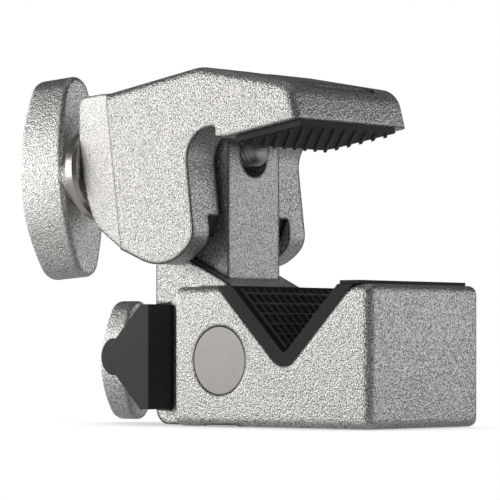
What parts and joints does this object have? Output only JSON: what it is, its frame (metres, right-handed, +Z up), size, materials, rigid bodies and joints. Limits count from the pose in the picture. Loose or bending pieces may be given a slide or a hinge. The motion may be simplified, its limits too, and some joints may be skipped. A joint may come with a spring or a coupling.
{
  "type": "super clamp",
  "caption": "Cast grip clamp with a rubber-lined V jaw, a cam-driven upper jaw on a screw handle, and a hexagonal stud socket with a lock screw and safety button.",
  "frame": {"origin": "on the bottom face, mid-width, straight under the axis of the stud socket", "axes": "+X out of the jaw's mouth, +Y along the stud socket out of its open end, +Z up"},
  "size_m": [0.1223, 0.04, 0.0849],
  "materials": {
    "cast_alloy": "bead-blasted satin",
    "handle_alloy": "bead-blasted satin",
    "button_alloy": "fine turned satin",
    "black_rubber": "matt, moulded grid",
    "dark_plastic": "fine matt moulded",
    "grey_plastic": "smooth bearing plastic",
    "black_steel": "black oxide, lightly oiled",
    "zinc_steel": "zinc plated",
    "spring_wire": "drawn spring wire",
    "nickel": "polished nickel",
    "brass_tip": "turned"
  },
  "bodies": {
    "clamp_body": {"lower_jaw_body": "cast_alloy", "v_liner": "black_rubber", "cross_nut": "zinc_steel", "catch_cover": "zinc_steel", "cover_screws": "black_steel", "catch_lever_pin": "zinc_steel", "button_stop_pin": "zinc_steel", "jaw_spring": "spring_wire", "button_spring": "spring_wire", "catch_spring": "spring_wire"},
    "upper_jaw": {"moving_jaw": "cast_alloy", "upper_pad": "black_rubber", "pivot_bolt": "black_steel", "pivot_washers": "grey_plastic", "spring_cup": "grey_plastic"},
    "screw_carriage": {"thrust_ring": "nickel", "friction_washer": "zinc_steel"},
    "screw": {"clamp_screw": "zinc_steel", "main_handle": "handle_alloy", "handle_screw": "black_steel"},
    "lock_carriage": {"lock_tip": "brass_tip", "lock_washer": "zinc_steel"},
    "lock": {"lock_screw": "black_steel", "lock_knob": "handle_alloy", "lock_knob_screw": "black_steel"},
    "wedge": {"wedge_insert": "dark_plastic"},
    "button": {"safety_button": "button_alloy"},
    "catch": {"catch_lever": "zinc_steel"}
  },
  "joints": [
    {"name": "screw_feed", "type": "slide", "parent": "clamp_body", "child": "screw_carriage", "axis": [0.9973, 0, 0.0732], "range_m": [-0.0075, 0.01375]},
    {"name": "handle_turn", "type": "hinge", "parent": "screw_carriage", "child": "screw", "pos_m": [-0.02004, 0, 0.06337], "axis": [0.9973, 0, 0.0732], "range_deg": [-2161.08, 3961.98]},
    {"name": "jaw_swing", "type": "hinge", "parent": "clamp_body", "child": "upper_jaw", "pos_m": [-0.0191, 0, 0.0505], "axis": [0, 1, 0], "range_deg": [-24.43, 44.78]},
    {"name": "lock_feed", "type": "slide", "parent": "clamp_body", "child": "lock_carriage", "axis": [1, 0, 0], "range_m": [-0.00375, 0.00125]},
    {"name": "lock_turn", "type": "hinge", "parent": "lock_carriage", "child": "lock", "pos_m": [-0.04, 0, 0.015], "axis": [1, 0, 0], "range_deg": [-1080.54, 360.18]},
    {"name": "wedge_slide", "type": "slide", "parent": "clamp_body", "child": "wedge", "axis": [0, -1, 0], "range_m": [0, 0.045]},
    {"name": "button_press", "type": "slide", "parent": "clamp_body", "child": "button", "axis": [0, 1, 0], "range_m": [0, 0.002], "stiffness_N_per_m": 400, "springref_m": -0.002, "deforming": ["button_spring"]},
    {"name": "catch_release", "type": "hinge", "parent": "clamp_body", "child": "catch", "pos_m": [0, -0.0116, 0.0034], "axis": [-1, 0, 0], "range_deg": [-0.02, 23.02], "deforming": ["catch_spring"]}
  ],
  "couplings": [
    {"joint": "handle_turn", "follows": "screw_feed", "rad_per_m": 5026.5},
    {"joint": "jaw_swing", "follows": "screw_feed", "rad_per_m": 56.818},
    {"joint": "lock_turn", "follows": "lock_feed", "rad_per_m": 5026.5},
    {"joint": "catch_release", "follows": "button_press", "rad_per_m": 200.71}
  ]
}
